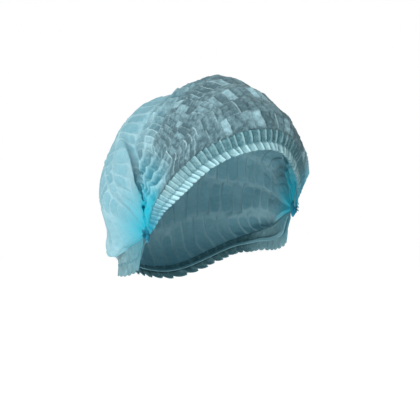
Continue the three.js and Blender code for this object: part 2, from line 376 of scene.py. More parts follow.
def large_forms(across, along, run, down):
    """Lift and overhang of the large creases and peaks, with soft puckers between them."""
    lift = PUCKER_LIFT + waver(run, down, *PUCKERS)
    back = np.zeros_like(lift)
    for c_across, c_along, width, length, slope, height, overhang in CREASES:
        beside, past = across - c_across, along - c_along - slope * (across - c_across)
        hill = np.exp(-(beside / width) ** 2 - (past / length) ** 2)
        lift = lift + height * hill
        back = back + overhang * hill
    return lift, back


def crown_folds(across, along, point, run):
    """How the folded cloth leaves the smooth crown: lift, slides along the arc and to the nape, values for
    the material, and the place in the pattern of tucks and strips."""
    sine = np.sin(np.pi * across)
    down = along * PROFILE_LENGTH
    distance = from_clip(point)
    rear = rise(along, *BAG_BEGIN)
    curled = curled_at(across, along, sine)
    strips = count_strips(along, run, down, curled)
    panel = np.clip(np.floor(strips), 0, STRIP_PLACES[-1][1] - 1)
    share = np.clip(strips - panel, 0, 1)
    # The long creases, ridge and valley by turns, grow deep towards the clips.
    depth = mix(mix(DOME_FOLD, BAG_FOLD, rear), CLIP_FOLD, smooth_step(1 - distance / CLIP_FOLD_REACH))
    depth = np.minimum(mix(depth, CURL_FOLD, curled), mix(*FOLD_SLOPES, curled) * distance)
    crease = np.abs((strips + 1) % 2 - 1)
    lift = depth * (crease - 0.5)
    # The tucks lean over the cloth beside them.
    lean = mix(mix(RIGHT_LEAN, LEFT_LEAN, rise(run, *LEAN_TURN)), BAG_LEAN, rear)
    tucks = run / TUCK_PITCH + mix(*TUCK_STRAYS, rear) * waver(run, down, TUCK_SWAY)
    density = np.where(panel < DOME_STRIPS, DOME_DENSITY, BAG_DENSITY)
    phase = tucks * density + lean * share + (panel * TUCK_START) % 1
    block = np.floor(phase)
    tuck = knife(phase, TUCK_FALL)
    face = rise(np.minimum(share, 1 - share), *TUCK_RIM) * rise(distance, *TUCKS_RISE) * (1 - curled)
    gain = dealt(panel, block, *TUCK_GAIN)
    tilt = dealt(panel, block, *TUCK_TILT) * (share - 0.5)
    lift = lift + face * (TUCK_HEIGHT * gain * (tuck - TUCK_MIDDLE) + tilt)
    slide = TUCK_OVERLAP * face * gain * (tuck - 0.5)
    # Ruffles run over each ear from the front hem to the valley, and short ones stand along the whole hem.
    ruffled = np.maximum(curled, HEM_RUFFLE * fall(along, *HEM_RUFFLE_END) * rise(along, *FRONT_EDGE))
    ruffle = 1 - np.abs(2 * ((run / RUFFLE_PITCH + waver(run, down, *RUFFLE_SWAYS)) % 1) - 1)
    crest = mix(*RUFFLE_CRESTS, 0.5 + waver(run, down, CREST_SWAY))
    curl = (ruffle**RUFFLE_POWER - RUFFLE_MIDDLE) * crest
    standing = ruffled * rise(distance, *RUFFLES_RISE)
    lift = lift * (1 - HEM_RUFFLE * (ruffled - curled)) + standing * RUFFLE_HEIGHT * curl
    slide = slide * (1 - ruffled) + standing * RUFFLE_OVERLAP * (ruffle - 0.5)
    # Small sharp wrinkles, then the large forms, all of them clear of the clips.
    clear = rise(sine, *CLEAR_SIDE)
    fine = ridge(run + FINE_WRINKLE_SHIFT, down, *FINE_WRINKLE)
    wrinkle = ridge(run, down, *WRINKLE) + FINE_WRINKLE_SHARE * fine
    lift = lift + (1 - curled) * mix(*WRINKLE_HEIGHTS, rear) * wrinkle * clear
    large, back = large_forms(across, along, run, down)
    # Beside the clips the bag is too tight for tucks.
    loose = rise(distance, *TUCKS_SHOW)
    doubled_and_painted_light = curled * (CURL_TONE + rise(crease, *RIDGE_LINE) + CREST_TONE * rise(ruffle, *CREST_LINE))
    # Painted highlight: the wrinkle ridges are paler.
    doubled_and_painted_light = doubled_and_painted_light + mix(*WRINKLE_HIGHLIGHTS, rear) * wrinkle * (1 - curled) + TIGHT_TONE * rear * (1 - loose)
    packed = gathered_at(point) + CURL_GATHER * curled * fall(distance, *CURL_GATHER_END)
    values = {
        "doubled_and_painted_light": doubled_and_painted_light,
        "tucked": (1 - smooth_step(RUFFLE_COVER * ruffled)) * loose,
        "lean": lean,
        "slack": np.maximum(rise(along, *SLACK_BEGIN), CURL_SLACK * curled),
        "gathered": np.minimum(packed, 1),
    }
    return lift + clear * large, slide, back * rise(sine, *OVERHANG_SIDE), values, tucks, strips


def gathered_at(point):
    """How many layers lie together, from 0 on the open crown to 1 in a clip."""
    return np.clip(GATHER_START - from_clip(point) / GATHER_REACH, 0, 1)


def add_uv(mesh, key, places):
    """A UV map with one place for each point."""
    corners = np.zeros(len(mesh.loops), int)
    mesh.loops.foreach_get("vertex_index", corners)
    layer = mesh.uv_layers.new(name=key)
    layer.data.foreach_set("uv", places[corners].astype(np.float32).ravel())


def add_object(name, data):
    thing = bpy.data.objects.new(name, data)
    bpy.context.scene.collection.objects.link(thing)
    return thing


def solid_mesh(name, points, faces, attributes, uv_maps):
    """An object of points in millimetres and faces, with a value and a UV place for each point."""
    mesh = bpy.data.meshes.new(name)
    mesh.from_pydata((points * MM).tolist(), [], faces)
    for key, values in attributes.items():
        layer = mesh.attributes.new(key, "FLOAT", "POINT")
        layer.data.foreach_set("value", values.astype(np.float32))
    for key, places in uv_maps.items():
        add_uv(mesh, key, places)
    mesh.shade_smooth()
    mesh.validate()
    return add_object(name, mesh)


def sheet_mesh(name, columns, rows, outside, inside, attributes, uv_maps):
    """A closed thin solid between two grids of points, with values at its points and its UV maps."""
    count = (columns + 1) * (rows + 1)
    at = np.arange(count).reshape(columns + 1, rows + 1)
    a, b, c, d = at[:-1, :-1], at[1:, :-1], at[1:, 1:], at[:-1, 1:]
    outer = np.stack([a, b, c, d], axis=-1).reshape(-1, 4)
    inner = outer[:, ::-1] + count
    rims = []
    for edge in (at[:, 0][::-1], at[:, -1], at[0, :], at[-1, :][::-1]):
        rims.append(np.stack([edge[:-1], edge[1:], edge[1:] + count, edge[:-1] + count], axis=-1))
    faces = np.concatenate([outer, inner, *rims])
    values = {key: np.tile(value, 2) for key, value in attributes.items()}
    places = {key: np.tile(uv, (2, 1)) for key, uv in uv_maps.items()}
    return solid_mesh(name, np.concatenate([outside, inside]), faces.tolist(), values, places)


def grid_shares(across, rows):
    """The grid of some places across by even shares along, as two flat arrays."""
    across, along = np.meshgrid(across, np.linspace(0, 1, rows + 1), indexing="ij")
    return across.ravel(), along.ravel()


def make_crown():
    columns, rows = CROWN_COLUMNS, CROWN_ROWS
    across, along = grid_shares(even_across(columns), rows)
    point, run, out, back = crown_frame(across, along)
    walked = walked_across(point, columns, rows)
    lift, slide, nape, values, tucks, strips = crown_folds(across, along, point, walked)
    # The front and nape edges stay where the hems take over, and are gathered by them.
    edge = np.minimum(along, 1 - along)
    held = rise(edge * PROFILE_LENGTH, *EDGE_HELD)
    gather = knife(walked / ARC_LENGTH * FRONT_PLEATS, HEM_GATHER_FALL) - 0.5
    gather = HEM_GATHER * gather * (1 - rise(edge, *GATHER_EDGE))
    lift = lift * mix(HELD_LIFT, 1, held) + gather * smooth_step(np.sin(np.pi * across) / FLARE_ONSET)
    middle = point + out * lift[:, None] + run * (slide * held)[:, None] + back * (nape * held)[:, None]
    inside = middle - grid_normals(middle, columns, rows) * CLOTH_THICK
    values["doubled_and_painted_light"] = values["doubled_and_painted_light"] * held
    values["tucked"] = values["tucked"] * held
    uv_maps = {"cloth": np.stack([walked, along * PROFILE_LENGTH], axis=1) * MM,
               "folds": np.stack([tucks, strips], axis=1)}
    return sheet_mesh("crown_cloth", columns, rows, middle, inside, values, uv_maps)


def grid_normals(points, columns, rows):
    grid = points.reshape(columns + 1, rows + 1, 3)
    normal = np.cross(np.gradient(grid, axis=0), np.gradient(grid, axis=1)).reshape(-1, 3)
    return unit_rows(normal)


# The hems, in millimetres, which run closer to the clips than in the part. Drop is the way from the crown's
# edge down to the hem's free edge. Places and their widths are given as for the crown.
HEM_START = 0.002
HEM_TOP = -1.2
HEM_DEPTH = 19
HEM_STITCH = 11
HEM_THICK = 0.7
HEM_LEAN = 3.2
HEM_FLARE = 1.1
HEM_SCALLOP = 2.8
HEM_CLEARANCE = 0.3
PETAL_POWER = 0.6
PLEAT_COLUMNS = 14
HEM_ROWS = 18
FRONT_PLEATS = 50
NAPE_PLEATS = 36
PLEAT_CROWDING = 0.25
PLEAT_FALL = 0.14
PLEAT_HEIGHTS = (1.7, 2.8)
PLEAT_MIDDLE = 0.3
PLEAT_OVERLAP = 2.4
PLEAT_GAIN = (0.6, 1.3, 37)
NECK_PLEATS = (0.2, 0.75)
WOBBLE = 0.3
WOBBLE_PLEATS = 1.7
WOBBLE_SEED = 31
WOBBLE_SHARPNESS = 12
SEAM_PINCH = 0.45
SEAM_WIDTH = 1.4
TOP_HEIGHT = 0.45
TOP_RISE = 4
FRONT_WIDENS = (0, 0.62)
NAPE_WIDENS = (0, 0.06)
HEM_FADE = (0, 0.12)
END_HEIGHT = 0.5
# Beside the neck, up to this sine, the nape hem hangs straight down, longer and almost smooth.
NECK_END = (0.3, 0.4)
NECK_HANG = 0.8
NECK_BACKWARD = 0.6
NECK_BACKWARD_BEGIN = (0, 0.5)
NECK_LONGER = 0.5
NECK_LONGER_END = (0.08, 0.5)
# Tones of the hems: painted light near the right ear, painted shade on the far side and beside the neck, and
# bright along the folded edges.
NAPE_SHADE = 0.7
NECK_PAINTED_SHADE = 0.27
LIT_TONE = 0.42
LIT_END = (0.12, 0.3)
FAR_PAINTED_SHADE = 0.25
FAR_SHADE_BEGIN = (0.65, 0.25)
FAR_SHADE_ON_EDGES = 0.5
EDGE_TONE = 0.6
EDGE_LINE = (0.66, 0.3)
EDGE_GAIN = (0.5, 1, 61)
RUFFLE_TONE = 0.26
RUFFLE_EDGE_TONE = 0.2
RUFFLE_LINE = (0.1875, 0.625)


def hem_across(along, share):
    """Shares across at even steps of a hem's own length."""
    fine = np.linspace(HEM_START, 1 - HEM_START, 1201)
    walked = way_walked(smooth_crown(fine, np.full(1201, float(along))))
    return np.interp(share, walked / walked[-1], fine)


def hem_frame(along, across):
    """Points of the crown's edge with the ways along it, outwards and down the hem, and the hem's length as a
    share of its full one."""
    point, run, out, back = crown_frame(across, np.full_like(across, along))
    sine = np.sin(np.pi * across)
    if along == 0:
        return point, run, out, -back, mix(HEM_END_SHARE, 1, rise(sine, *FRONT_WIDENS))
    beside = NECK_HANG * (1 - rise(sine, *NECK_END))[:, None]
    plumb = np.stack([sine * 0, NECK_BACKWARD * rise(sine, *NECK_BACKWARD_BEGIN), sine * 0 - 1], axis=1)
    away = unit_rows(mix(back, plumb, beside))
    widens = rise(sine, *NAPE_WIDENS)
    hanging = 1 + NECK_LONGER * widens * (1 - rise(sine, *NECK_LONGER_END))
    return point, run, out, away, mix(HEM_END_SHARE, 1, widens) * hanging


def hem_surface(along, pleats, share, drop):
    """The pleated outside of a hem, the way out of it, and how pale its cloth is: paler where doubled, with
    painted light near the right ear and painted shade on the far side and beside the neck.
    """
    across = hem_across(along, share)
    sine = np.sin(np.pi * across)
    past_neck = rise(sine, *NECK_END)
    point, run, out, away, gathered = hem_frame(along, across)
    wobble = WOBBLE * lattice_noise(share * pleats / WOBBLE_PLEATS, share * 0, WOBBLE_SEED + along)
    # The pleats crowd towards the clips.
    crowded = share + PLEAT_CROWDING * np.sin(2 * np.pi * share) / (2 * np.pi)
    phase = crowded * pleats + wobble * smooth_step(np.minimum(share, 1 - share) * WOBBLE_SHARPNESS)
    index = np.floor(phase)
    least, most, seed = PLEAT_GAIN
    gain = dealt(index, index * 0, least, most, seed + along)
    if along == 1:
        gain = gain * mix(*NECK_PLEATS, past_neck)
    past = np.clip((drop - HEM_STITCH) / (HEM_DEPTH - HEM_STITCH), 0, 1)
    fold = knife(phase, PLEAT_FALL)
    petal = np.sin(np.pi * (phase - index)) ** PETAL_POWER
    seam = 1 - SEAM_PINCH * bell(drop, HEM_STITCH, SEAM_WIDTH)
    tall = seam * mix(TOP_HEIGHT, 1, rise(drop, HEM_TOP, TOP_RISE))
    lift = tall * mix(*PLEAT_HEIGHTS, smooth_step(past * 4)) * (fold - PLEAT_MIDDLE) + HEM_FLARE * past
    slide = gain * (tall * PLEAT_OVERLAP * (fold - 0.5) + HEM_LEAN * past)
    scallop = HEM_SCALLOP * (petal - 0.5) * smooth_step(past)
    fade = rise(sine, *HEM_FADE)
    height = gain * lift * mix(END_HEIGHT, 1, fade) + HEM_CLEARANCE
    surface = point + away * ((drop + scallop) * gathered)[:, None] + out * height[:, None]
    surface = surface + run * (slide * gathered * fade)[:, None]
    # Painted shade: on the far side the hems are darker and their folded edges fainter. Near the right ear
    # they are paler, as painted light.
    far_shade = rise(across, *FAR_SHADE_BEGIN)
    edge = rise(fold, *EDGE_LINE) * dealt(index, index * 0, *EDGE_GAIN) * (1 - FAR_SHADE_ON_EDGES * far_shade)
    lit = LIT_TONE * (1 - rise(across, *LIT_END)) - FAR_PAINTED_SHADE * far_shade
    ruffle = RUFFLE_TONE + RUFFLE_EDGE_TONE * rise(fold, *RUFFLE_LINE)
    doubled_and_painted_light = lit + EDGE_TONE * edge + smooth_step(past * 3) * ruffle
    # Painted shade beneath the right lobe: beside the neck the nape hem takes one even dark tone, and past
    # the neck it is darkened by NAPE_SHADE.
    if along == 1:
        doubled_and_painted_light = mix(NECK_PAINTED_SHADE, doubled_and_painted_light * NAPE_SHADE, past_neck)
    return surface, out, doubled_and_painted_light


def make_hem(name, along, pleats):
    columns = pleats * PLEAT_COLUMNS
    share, down = grid_shares(np.linspace(0, 1, columns + 1), HEM_ROWS)
    if along == 0:
        # The front hem's rows run towards the crown, so that its outside faces out as well.
        down = 1 - down
    drop = mix(HEM_TOP, HEM_DEPTH, down)
    surface, _, doubled_and_painted_light = hem_surface(along, pleats, share, drop)
    inside = surface - grid_normals(surface, columns, HEM_ROWS) * HEM_THICK
    uv = np.stack([share * ARC_LENGTH, drop], axis=1) * MM
    values = {"doubled_and_painted_light": doubled_and_painted_light, "gathered": gathered_at(surface)}
    return sheet_mesh(name, columns, HEM_ROWS, surface, inside, values, {"cloth": uv})


def stitch_tree():
    """Zigzag sewing: a short thread along each edge of a path."""
    tree = bpy.data.node_groups.new("zigzag_stitches", "GeometryNodeTree")
    for name, side, kind in (
        ("Path", "INPUT", "Geometry"),
        ("Thread radius", "INPUT", "Float"),
        ("Thread sides", "INPUT", "Int"),
        ("Thread", "INPUT", "Material"),
        ("Stitches", "OUTPUT", "Geometry"),
    ):
        tree.interface.new_socket(name=name, in_out=side, socket_type="NodeSocket" + kind)
    nodes = tree.nodes
    entry, leave = nodes.new("NodeGroupInput"), nodes.new("NodeGroupOutput")
    ends = nodes.new("GeometryNodeInputMeshEdgeVertices")
    run = value_node(nodes, "ShaderNodeVectorMath", operation="SUBTRACT")
    kept = value_node(nodes, "GeometryNodeCaptureAttribute", domain="EDGE")
    kept.capture_items.new("VECTOR", "Run")
    middles = value_node(nodes, "GeometryNodeMeshToPoints", mode="EDGES")
    turn = value_node(nodes, "FunctionNodeAlignRotationToVector", axis="Z")
    length = value_node(nodes, "ShaderNodeVectorMath", operation="LENGTH")
    stretch = nodes.new("ShaderNodeCombineXYZ")
    feed(stretch, {"X": 1, "Y": 1})
    thread = nodes.new("GeometryNodeMeshCylinder")
    feed(thread, {"Depth": 1})
    placed = nodes.new("GeometryNodeInstanceOnPoints")
    solid = nodes.new("GeometryNodeRealizeInstances")
    finished = nodes.new("GeometryNodeSetMaterial")
    for source, given, target, taken in (
        (ends, "Position 2", run, 0),
        (ends, "Position 1", run, 1),
        (entry, "Path", kept, "Geometry"),
        (run, 0, kept, "Run"),
        (kept, "Geometry", middles, "Mesh"),
        (kept, "Run", turn, "Vector"),
        (kept, "Run", length, 0),
        (length, "Value", stretch, 2),
        (entry, "Thread sides", thread, "Vertices"),
        (entry, "Thread radius", thread, "Radius"),
        (middles, 0, placed, "Points"),
        (thread, "Mesh", placed, "Instance"),
        (turn, 0, placed, "Rotation"),
        (stretch, 0, placed, "Scale"),
        (placed, 0, solid, 0),
        (solid, 0, finished, "Geometry"),
        (entry, "Thread", finished, "Material"),
        (finished, 0, leave, 0),
    ):
        feed(target, {taken: source.outputs[given]})
    return tree


STITCH_PITCH = 5.5
STITCH_SWING = 1.1
STITCH_ENDS = (0.02, 0.98)
THREAD_RADIUS = 0.2
THREAD_SIDES = 6


def make_stitches(name, tree, along, pleats, thread):
    """The zigzag seam that holds a hem's elastic, on the outside of its pleats."""
    count = int(ARC_LENGTH / STITCH_PITCH) * 2
    share = np.linspace(*STITCH_ENDS, count + 1)
    drop = HEM_STITCH + STITCH_SWING * (2 * (np.arange(count + 1) % 2) - 1)
    surface, out, _ = hem_surface(along, pleats, share, drop)
    points = (surface + out * THREAD_RADIUS) * MM
    path = bpy.data.meshes.new(name + "_path")
    path.from_pydata(points.tolist(), [(i, i + 1) for i in range(count)], [])
    carrier = add_object(name + "_path", path)
    modifier = carrier.modifiers.new("stitches", "NODES")
    modifier.node_group = tree
    inputs = [item for item in tree.interface.items_tree if item.in_out == "INPUT"]
    sockets = {item.name: item.identifier for item in inputs}
    modifier[sockets["Thread radius"]] = THREAD_RADIUS * MM
    modifier[sockets["Thread sides"]] = THREAD_SIDES
    modifier[sockets["Thread"]] = thread
    evaluated = carrier.evaluated_get(bpy.context.evaluated_depsgraph_get())
    mesh = bpy.data.meshes.new_from_object(evaluated)
    carrier.modifiers.remove(modifier)
    bpy.data.objects.remove(carrier)
    return add_object(name, mesh)


ELASTIC_WIDTH = 3
ELASTIC_THICK = 0.8
ELASTIC_COLUMNS = 420
ELASTIC_ROWS = 8
ELASTIC_DEPTH = 2.2
ELASTIC_CORDS = 4
CORD_HEIGHT = 0.12
RIPPLE_HEIGHT = 0.08
RIPPLE_TURN = 546


def make_elastic(name, along):
    """A flat corded band on the inside of a hem, along its stitches."""
    share, width = grid_shares(np.linspace(0, 1, ELASTIC_COLUMNS + 1), ELASTIC_ROWS)
    across = hem_across(along, share)
    point, _, out, away, gathered = hem_frame(along, across)
    rib = CORD_HEIGHT * np.abs(np.sin(np.pi * ELASTIC_CORDS * width))
    rib = rib + RIPPLE_HEIGHT * np.sin(share * RIPPLE_TURN)
    side = (width - 0.5) * ELASTIC_WIDTH * (-1 if along == 0 else 1)
    middle = point + away * ((HEM_STITCH + side) * gathered)[:, None] - out * (ELASTIC_DEPTH - rib)[:, None]
    inside = middle - out * (ELASTIC_THICK + 2 * rib)[:, None]
    uv = np.stack([share * ARC_LENGTH, width * ELASTIC_WIDTH], axis=1) * MM
    return sheet_mesh(name, ELASTIC_COLUMNS, ELASTIC_ROWS, middle, inside, {}, {"cloth": uv})


# The clips: places are shares of the length, from the crown's inside to the free tip.
CLIP_LAYERS = 24
CLIP_TURNS = 144
CLIP_STEPS = 22
LAYER_FALL = 0.3
LAYER_DEPTH = (0.62, 2.22, 53)
LAYER_MIDDLE = 0.75
LAYER_LINE = 0.6
LAYER_TONE = 0.6
WELD = (0.74, 0.12)
WELD_PINCH = 0.3
WELD_FLAT = 0.6
CRIMP_HEIGHT = 0.18
CRIMP_TURN = 60
TIP_BEGIN = (0.8, 0.2)
TIP_SPREAD = 0.12
STUB_BEGIN = (0.55, 0.2)
STUB_SIZE = 0.55
INNER_BEGIN = (0, 0.3)
INNER_SIZE = 0.7
RIM = (0.44, 0.09)
RIM_GROWTH = 0.45
FRAY = (-2.04, 1.36, 59)
INNER_STRETCH = 0.5
OUTER_STRETCH = 0.6


def make_clip(name, side):
    """The welded ends of the folded layers: a ribbed stub, pinched at the weld and frayed at its tip."""
    angle, length = grid_shares(np.linspace(0, 2 * np.pi, CLIP_TURNS, endpoint=False), CLIP_STEPS - 1)
    counted = angle / (2 * np.pi) * CLIP_LAYERS
    layer = np.floor(counted)
    rib = knife(counted, LAYER_FALL)
    weld = bell(length, *WELD)
    # Inside the crown's rim the stub fills it, and past the rim it is thinner.
    swell = 1 - WELD_PINCH * weld + TIP_SPREAD * rise(length, *TIP_BEGIN)
    swell = swell * mix(1, STUB_SIZE, rise(length, *STUB_BEGIN))
    swell = swell * mix(INNER_SIZE, 1, rise(length, *INNER_BEGIN))
    # Where the crown's rim holds the stub, it is smooth and a little wider.
    held = bell(length, *RIM)
    depth = dealt(layer, layer * 0, *LAYER_DEPTH) * (1 - WELD_FLAT * weld)
    depth = depth * (rib - LAYER_MIDDLE) * (1 - held)
    crimp = CRIMP_HEIGHT * np.sin(length * CRIMP_TURN) * weld
    radius = 1 / np.hypot(np.cos(angle) / CLIP_HALF_THICK, np.sin(angle) / CLIP_HALF_HEIGHT)
    radius = radius * swell + depth + crimp + RIM_GROWTH * held
    stretch = np.where(length < 0.5, INNER_STRETCH, OUTER_STRETCH) * CLIP_LENGTH
    x = side * (stretch * (length - 0.5) + dealt(layer, layer * 0, *FRAY) * length)
    around = np.stack([x, radius * np.cos(angle), radius * np.sin(angle)], axis=1)
    points = CLIP_MIDDLE + side * CLIP_HALF + around
    at = np.arange(CLIP_TURNS * CLIP_STEPS).reshape(CLIP_TURNS, CLIP_STEPS)
    inner_end, outer_end = len(points), len(points) + 1
    points = np.vstack([points, points[at[:, 0]].mean(axis=0), points[at[:, -1]].mean(axis=0)])
    sides, ends = [], []
    for i, row in enumerate(at):
        after = at[(i + 1) % CLIP_TURNS]
        sides += [[row[j], after[j], after[j + 1], row[j + 1]] for j in range(CLIP_STEPS - 1)]
        ends += [[inner_end, after[0], row[0]], [outer_end, row[-1], after[-1]]]
    faces = [[int(q) for q in face[::side]] for face in sides + ends]
    ribs = np.append((rib > LAYER_LINE) * LAYER_TONE, [0, 0])
    places = np.stack([angle * CLIP_HALF_HEIGHT, length * CLIP_LENGTH], axis=1)
    uv = np.vstack([places, np.zeros((2, 2))]) * MM
    return solid_mesh(name, points, faces, {"doubled_and_painted_light": ribs, "gathered": np.ones(len(points))}, {"cloth": uv})


def value_node(nodes, kind, **settings):
    node = nodes.new(kind)
    for key, value in settings.items():
        setattr(node, key, value)
    return node


def feed(node, values):
    """Gives a node's inputs their values: numbers, colours, or what other nodes give."""
    for key, value in values.items():
        if isinstance(value, bpy.types.NodeSocket):
            node.id_data.links.new(value, node.inputs[key])
        else:
            node.inputs[key].default_value = (*value, 1) if isinstance(value, tuple) else value


def math_node(tree, operation, a, b=None, clamp=False):
    node = value_node(tree.nodes, "ShaderNodeMath", operation=operation, use_clamp=clamp)
    feed(node, {0: a} if b is None else {0: a, 1: b})
    return node.outputs[0]


def plus(tree, *values):
    return math_node(tree, "ADD", *values)


def minus(tree, *values):
    return math_node(tree, "SUBTRACT", *values)


def times(tree, *values):
    return math_node(tree, "MULTIPLY", *values)


def over(tree, *values):
    return math_node(tree, "DIVIDE", *values)


def attribute_value(tree, name):
    return value_node(tree.nodes, "ShaderNodeAttribute", attribute_name=name).outputs["Fac"]


def ramp(tree, value, start, gain, clamp=False):
    return times(tree, minus(tree, value, start), gain, clamp)


def offset(tree, value, middle):
    return math_node(tree, "ABSOLUTE", minus(tree, value, middle))


def tent(tree, value, middle, half_width):
    """1 at the middle, down to 0 at half a width to either side."""
    return minus(tree, 1.0, over(tree, offset(tree, value, middle), half_width), True)


def mix_value(tree, share, low, high):
    return plus(tree, low, times(tree, minus(tree, high, low), share))


def mix_colour(tree, share, low, high):
    node = value_node(tree.nodes, "ShaderNodeMix", data_type="RGBA")
    feed(node, {"Factor": share, 6: low, 7: high})
    return node.outputs[2]


def separated(tree, kind, value):
    node = tree.nodes.new("ShaderNodeSeparate" + kind)
    feed(node, {0: value})
    return node.outputs


def new_group(name, inputs):
    """A shader node group, and its named inputs as values for its nodes."""
    group = bpy.data.node_groups.new(name, "ShaderNodeTree")
    for key, default in inputs.items():
        socket = group.interface.new_socket(name=key, in_out="INPUT", socket_type="NodeSocketFloat")
        socket.default_value = default
    return group, group.nodes.new("NodeGroupInput").outputs


def give_outputs(group, **values):
    for key in values:
        group.interface.new_socket(name=key, in_out="OUTPUT", socket_type="NodeSocketFloat")
    feed(group.nodes.new("NodeGroupOutput"), values)


# Places within one tuck, from 0 to 1, and within one strip; and the start and gain of a random number.
EDGE_PLACE = 0.96
EDGE_WIDTH = 0.12
EDGE_CHANCE = (0.3, 1.3)
RIM_CREASE_WIDTH = 0.05
RIM_CREASE_CHANCE = (0.5, 1.6)
RIM_CREASE_STRENGTH = 0.4
SHADE_PLACE = (0.97, 0.07)
BAR_MIDDLE = 0.44
BAR_HALF_WIDTH = 0.36
BAR_HALF_HEIGHT = 0.4
BAR_SQUARENESS = 4.0
BAR_SIZE = 1.3
BAR_SHARPNESS = 1.6
FAINTEST_BAR = 0.15
RIM_WIDTH = 0.1


def blocks_group():
    """Tucked strips, from the UV map folds: how many layers each block has, its bright folded edges and
    the shade beside them, the bars where single cloth shows, and the places within a tuck and a strip."""
    group, given = new_group("tucked_strips", {"Edge width": 0.1})
    nodes = group.nodes
    uv = value_node(nodes, "ShaderNodeUVMap", uv_map="folds").outputs[0]
    tucks, strips, _ = separated(group, "XYZ", uv)
    # The same count of tucks as in the crown's folds.
    panel = math_node(group, "FLOOR", strips)
    share = math_node(group, "FRACT", strips)
    start = math_node(group, "FRACT", times(group, panel, TUCK_START))
    lean = attribute_value(group, "lean")
    on_dome = math_node(group, "LESS_THAN", panel, DOME_STRIPS - 0.5)
    density = mix_value(group, on_dome, BAG_DENSITY, DOME_DENSITY)
    leant = plus(group, times(group, tucks, density), times(group, lean, share))
    phase = plus(group, leant, start)
    inner = math_node(group, "FRACT", phase)
    cell = nodes.new("ShaderNodeCombineXYZ")
    feed(cell, {"X": math_node(group, "FLOOR", phase), "Y": panel})
    dice = value_node(nodes, "ShaderNodeTexWhiteNoise", noise_dimensions="2D")
    feed(dice, {"Vector": cell.outputs[0]})
    first, second, third = separated(group, "Color", dice.outputs["Color"])
    # The folded edge is a thin line before the fall of each tuck, and at the rims of some strips.
    strong = ramp(group, second, *EDGE_CHANCE, True)
    line = tent(group, inner, EDGE_PLACE - TUCK_FALL, given["Edge width"])
    rim = math_node(group, "MINIMUM", share, minus(group, 1.0, share))
    crease = minus(group, 1.0, over(group, rim, RIM_CREASE_WIDTH), True)
    folded = times(group, ramp(group, third, *RIM_CREASE_CHANCE, True), RIM_CREASE_STRENGTH)
    edge = math_node(group, "MAXIMUM", times(group, line, strong), times(group, crease, folded))
    # Just past the folded edge the cloth below it lies in shade.
    shade = times(group, tent(group, inner, *SHADE_PLACE), strong)
    # Where a slack strip opens between two tucks, a single layer shows as a bar.
    wide = over(group, offset(group, inner, BAR_MIDDLE), BAR_HALF_WIDTH)
    high = over(group, offset(group, share, 0.5), BAR_HALF_HEIGHT)
    wide = math_node(group, "POWER", wide, BAR_SQUARENESS)
    high = math_node(group, "POWER", high, BAR_SQUARENESS)
    bar = times(group, minus(group, BAR_SIZE, plus(group, wide, high)), BAR_SHARPNESS, True)
    bar = times(group, bar, mix_value(group, first, FAINTEST_BAR, 1.0))
    give_outputs(group, Layers=dice.outputs["Value"], Edge=edge, Shade=shade, Bar=bar, Inner=inner,
                 Rim=over(group, rim, RIM_WIDTH, True))
    return group


def noise_value(tree, place, scale, detail, roughness):
    node = value_node(tree.nodes, "ShaderNodeTexNoise", noise_dimensions="3D")
    feed(node, {"Detail": detail, "Roughness": roughness, "Vector": place, "Scale": scale})
    return node.outputs[0]


CLOUD_SCALE = 0.22
STREAK_SCALE = 0.8
BOND_DOTS = (0.55, 4.0)
# Coarse noises for the creases: scale, and sharpness of the line at their middle value.
CRINKLES = ((0.11, 16.0), (0.2, 11.0))


def nonwoven_group():
    """Spunbond cloth: cloudy fibres, thin streaks and a grid of bond points, from a UV map in metres."""
    group, given = new_group("spunbond", {"Fibre scale": 900.0, "Bond pitch": 0.0022})
    fibre_scale = given["Fibre scale"]
    uv = value_node(group.nodes, "ShaderNodeUVMap", uv_map="cloth").outputs[0]
    cloud = noise_value(group, uv, times(group, fibre_scale, CLOUD_SCALE), 6, 0.62)
    streak = value_node(group.nodes, "ShaderNodeTexWave", wave_type="BANDS", bands_direction="DIAGONAL")
    feed(streak, {"Distortion": 14, "Detail": 3, "Detail Scale": 1.4, "Vector": uv,
                  "Scale": times(group, fibre_scale, STREAK_SCALE)})
    x, y, _ = separated(group, "XYZ", uv)
    turns = over(group, math.pi, given["Bond pitch"])
    summed = math_node(group, "SINE", times(group, plus(group, x, y), turns))
    apart = math_node(group, "SINE", times(group, minus(group, x, y), turns))
    bonds = ramp(group, times(group, summed, apart), *BOND_DOTS, True)
    # Fine creases follow the middle values of two coarse noises.
    crinkles = []
    for scale, sharpness in CRINKLES:
        noise = noise_value(group, uv, times(group, fibre_scale, scale), 2, 0.4)
        off = times(group, offset(group, noise, 0.5), sharpness)
        crinkles.append(minus(group, 1.0, off, True))
    crinkle = math_node(group, "MAXIMUM", *crinkles)
    give_outputs(group, Cloud=cloud, Streaks=streak.outputs["Fac"], Bonds=bonds, Crinkle=crinkle)
    return group


BAG_THIN = (0.1, 0.32, 0.4)
BAG_CLOTH = (0.35, 0.58, 0.64)
FOLD_EDGE = (0.52, 0.76, 0.82)
# Where the cloth is slack, its creases and mottling fade.
SLACK_CREASES = 0.85
MOTTLE_FROM = 1.5
SLACK_MOTTLE = 0.75
CREASE_TONE = 0.07
# Tones of the dome's blocks, each with the value that leaves the cloth as it is, and its gain.
BLOCK_TONE = (0.45, 0.36)
DEEP_TONE = (0.8, 2.4)
SLOPE_TONE = (0.45, 0.22)
DOME_TONE = 0.03
BAG_TONE = 0.68
BAR_TONE = 0.6
BAG_BLOCKS = 0.6
SHADE_TONE = 0.25
EDGE_FIRMNESS = 0.85
SLACK_EDGES = 0.62
STREAK_HEIGHT = 0.4
BOND_HEIGHT = 0.5
CREASE_HEIGHT = 1.4


